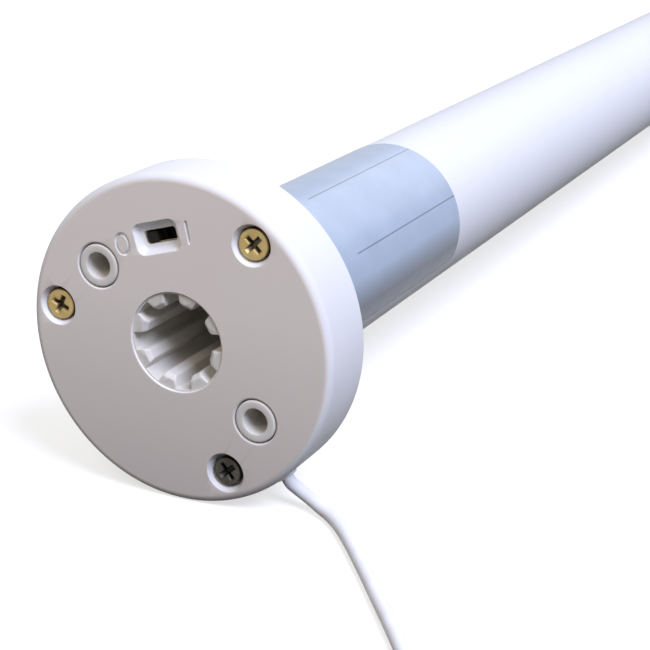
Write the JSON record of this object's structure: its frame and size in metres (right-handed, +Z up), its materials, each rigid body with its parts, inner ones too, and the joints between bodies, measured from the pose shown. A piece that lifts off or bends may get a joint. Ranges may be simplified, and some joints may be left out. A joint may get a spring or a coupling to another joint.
{
  "type": "tubular roller blind motor",
  "caption": "Battery-powered tubular motor: round head with a splined bracket socket, pin holes and slide switch, slim tube with planetary gear train, drive wheel and a coiled charging lead.",
  "frame": {"origin": "centre of the two bracket pin holes and of the socket, in the plane of the head's face", "axes": "+X along the motor from the head's face to the drive wheel; +Z up with the motor lying on its side, as in the picture; the lead leaves the head's underside towards -Y"},
  "size_m": [0.4591, 0.0769, 0.0446],
  "materials": {
    "head_plastic": "fine-textured moulded plastic, warm light grey on the face and glossier on the rim",
    "base_plastic": "moulded plastic, light grey",
    "brass_screw": "yellow zinc-plated screw",
    "dark_screw": "dark plated steel screw",
    "black_plastic": "black nylon",
    "board_green": "glass-fibre circuit board with green solder mask",
    "lead_white": "smooth white PVC sheath",
    "white_plastic": "smooth white moulded plastic",
    "tube_white": "glossy white powder coat on a steel tube",
    "label_film": "thin silvery film, blank",
    "steel": "bright plated steel",
    "tray_plastic": "dark grey moulded plastic",
    "chips": "moulded chips, terminals and capacitors",
    "copper": "enamelled copper",
    "cell_sleeve": "blue shrink sleeve over a metal can",
    "nickel": "nickel strip",
    "wire_red": "PVC wire insulation over copper",
    "magnet": "sintered magnet",
    "bell_plastic": "moulded nylon",
    "sintered": "sintered bronze, oiled",
    "lamination": "stacked steel sheet",
    "rubber_ring": "soft black rubber",
    "gear_plastic": "hard acetal, natural colour",
    "gear_metal": "sintered steel, lightly oiled"
  },
  "bodies": {
    "housing": {"head_cover": "head_plastic", "head_base": "base_plastic", "brass_cover_screws": "brass_screw", "dark_cover_screw": "dark_screw", "switch_body": "black_plastic", "head_board": "board_green", "lead_grommet": "lead_white", "lead_inner_end": "lead_white", "lead_run": "lead_white", "lead_coil": "lead_white", "lead_connector": "white_plastic", "connector_shell": "steel", "motor_tube": "tube_white", "label_film": "label_film", "tube_screws": "steel", "board_tray": "tray_plastic", "control_board": "board_green", "board_components": "chips", "antenna_wire": "copper", "battery_tray": "tray_plastic", "battery_cell_front": "cell_sleeve", "battery_cell_rear": "cell_sleeve", "battery_straps": "nickel", "motor_wires": "wire_red", "encoder_board": "board_green", "motor_end_bell": "bell_plastic", "motor_can": "steel", "motor_magnets": "magnet", "motor_bushes": "sintered", "motor_rings": "rubber_ring", "gearbox_plate": "gear_metal", "plate_screws": "dark_screw", "ring_gear": "gear_metal", "output_bush": "sintered", "tube_end_cap": "white_plastic"},
    "switch_lever": {"switch_lever": "black_plastic"},
    "output": {"carrier_3": "gear_metal", "output_shaft": "steel", "drive_wheel": "white_plastic", "wheel_washer": "steel", "wheel_screw": "steel"},
    "stage_2_carrier": {"carrier_2": "gear_metal"},
    "stage_1_carrier": {"carrier_1": "gear_metal"},
    "armature": {"motor_shaft": "steel", "armature_core": "lamination", "armature_winding": "copper", "commutator": "copper", "encoder_magnet": "magnet", "motor_pinion": "gear_metal"},
    "planet_1a": {"planet_1a": "gear_plastic"},
    "planet_1b": {"planet_1b": "gear_plastic"},
    "planet_1c": {"planet_1c": "gear_plastic"},
    "planet_2a": {"planet_2a": "gear_plastic"},
    "planet_2b": {"planet_2b": "gear_plastic"},
    "planet_2c": {"planet_2c": "gear_plastic"},
    "planet_3a": {"planet_3a": "gear_metal"},
    "planet_3b": {"planet_3b": "gear_metal"},
    "planet_3c": {"planet_3c": "gear_metal"}
  },
  "joints": [
    {"name": "output_spin", "type": "hinge", "parent": "housing", "child": "output", "pos_m": [0.3708, 0, 0], "axis": [1, 0, 0], "continuous": true},
    {"name": "switch_slide", "type": "slide", "parent": "housing", "child": "switch_lever", "axis": [0, -0.9641, 0.2656], "range_m": [0, 0.00266]},
    {"name": "stage_2_carrier_spin", "type": "hinge", "parent": "housing", "child": "stage_2_carrier", "pos_m": [0.3268, 0, 0], "axis": [1, 0, 0], "continuous": true},
    {"name": "stage_1_carrier_spin", "type": "hinge", "parent": "housing", "child": "stage_1_carrier", "pos_m": [0.3158, 0, 0], "axis": [1, 0, 0], "continuous": true},
    {"name": "armature_spin", "type": "hinge", "parent": "housing", "child": "armature", "pos_m": [0.284, 0, 0], "axis": [1, 0, 0], "continuous": true},
    {"name": "planet_3a_spin", "type": "hinge", "parent": "output", "child": "planet_3a", "pos_m": [0.3345, 0.0066, 0], "axis": [1, 0, 0], "continuous": true},
    {"name": "planet_3b_spin", "type": "hinge", "parent": "output", "child": "planet_3b", "pos_m": [0.3345, -0.0033, 0.00572], "axis": [1, 0, 0], "continuous": true},
    {"name": "planet_3c_spin", "type": "hinge", "parent": "output", "child": "planet_3c", "pos_m": [0.3345, -0.0033, -0.00572], "axis": [1, 0, 0], "continuous": true},
    {"name": "planet_2a_spin", "type": "hinge", "parent": "stage_2_carrier", "child": "planet_2a", "pos_m": [0.3212, 0.0066, 0], "axis": [1, 0, 0], "continuous": true},
    {"name": "planet_2b_spin", "type": "hinge", "parent": "stage_2_carrier", "child": "planet_2b", "pos_m": [0.3212, -0.0033, 0.00572], "axis": [1, 0, 0], "continuous": true},
    {"name": "planet_2c_spin", "type": "hinge", "parent": "stage_2_carrier", "child": "planet_2c", "pos_m": [0.3212, -0.0033, -0.00572], "axis": [1, 0, 0], "continuous": true},
    {"name": "planet_1a_spin", "type": "hinge", "parent": "stage_1_carrier", "child": "planet_1a", "pos_m": [0.3114, 0.0066, 0], "axis": [1, 0, 0], "continuous": true},
    {"name": "planet_1b_spin", "type": "hinge", "parent": "stage_1_carrier", "child": "planet_1b", "pos_m": [0.3114, -0.0033, 0.00572], "axis": [1, 0, 0], "continuous": true},
    {"name": "planet_1c_spin", "type": "hinge", "parent": "stage_1_carrier", "child": "planet_1c", "pos_m": [0.3114, -0.0033, -0.00572], "axis": [1, 0, 0], "continuous": true}
  ],
  "couplings": [
    {"joint": "stage_2_carrier_spin", "follows": "output_spin", "ratio": 4.4},
    {"joint": "stage_1_carrier_spin", "follows": "output_spin", "ratio": 19.36},
    {"joint": "armature_spin", "follows": "output_spin", "ratio": 85.184},
    {"joint": "planet_3a_spin", "follows": "output_spin", "ratio": -2.8333},
    {"joint": "planet_3b_spin", "follows": "output_spin", "ratio": -2.8333},
    {"joint": "planet_3c_spin", "follows": "output_spin", "ratio": -2.8333},
    {"joint": "planet_2a_spin", "follows": "output_spin", "ratio": -12.467},
    {"joint": "planet_2b_spin", "follows": "output_spin", "ratio": -12.467},
    {"joint": "planet_2c_spin", "follows": "output_spin", "ratio": -12.467},
    {"joint": "planet_1a_spin", "follows": "output_spin", "ratio": -54.853},
    {"joint": "planet_1b_spin", "follows": "output_spin", "ratio": -54.853},
    {"joint": "planet_1c_spin", "follows": "output_spin", "ratio": -54.853}
  ]
}
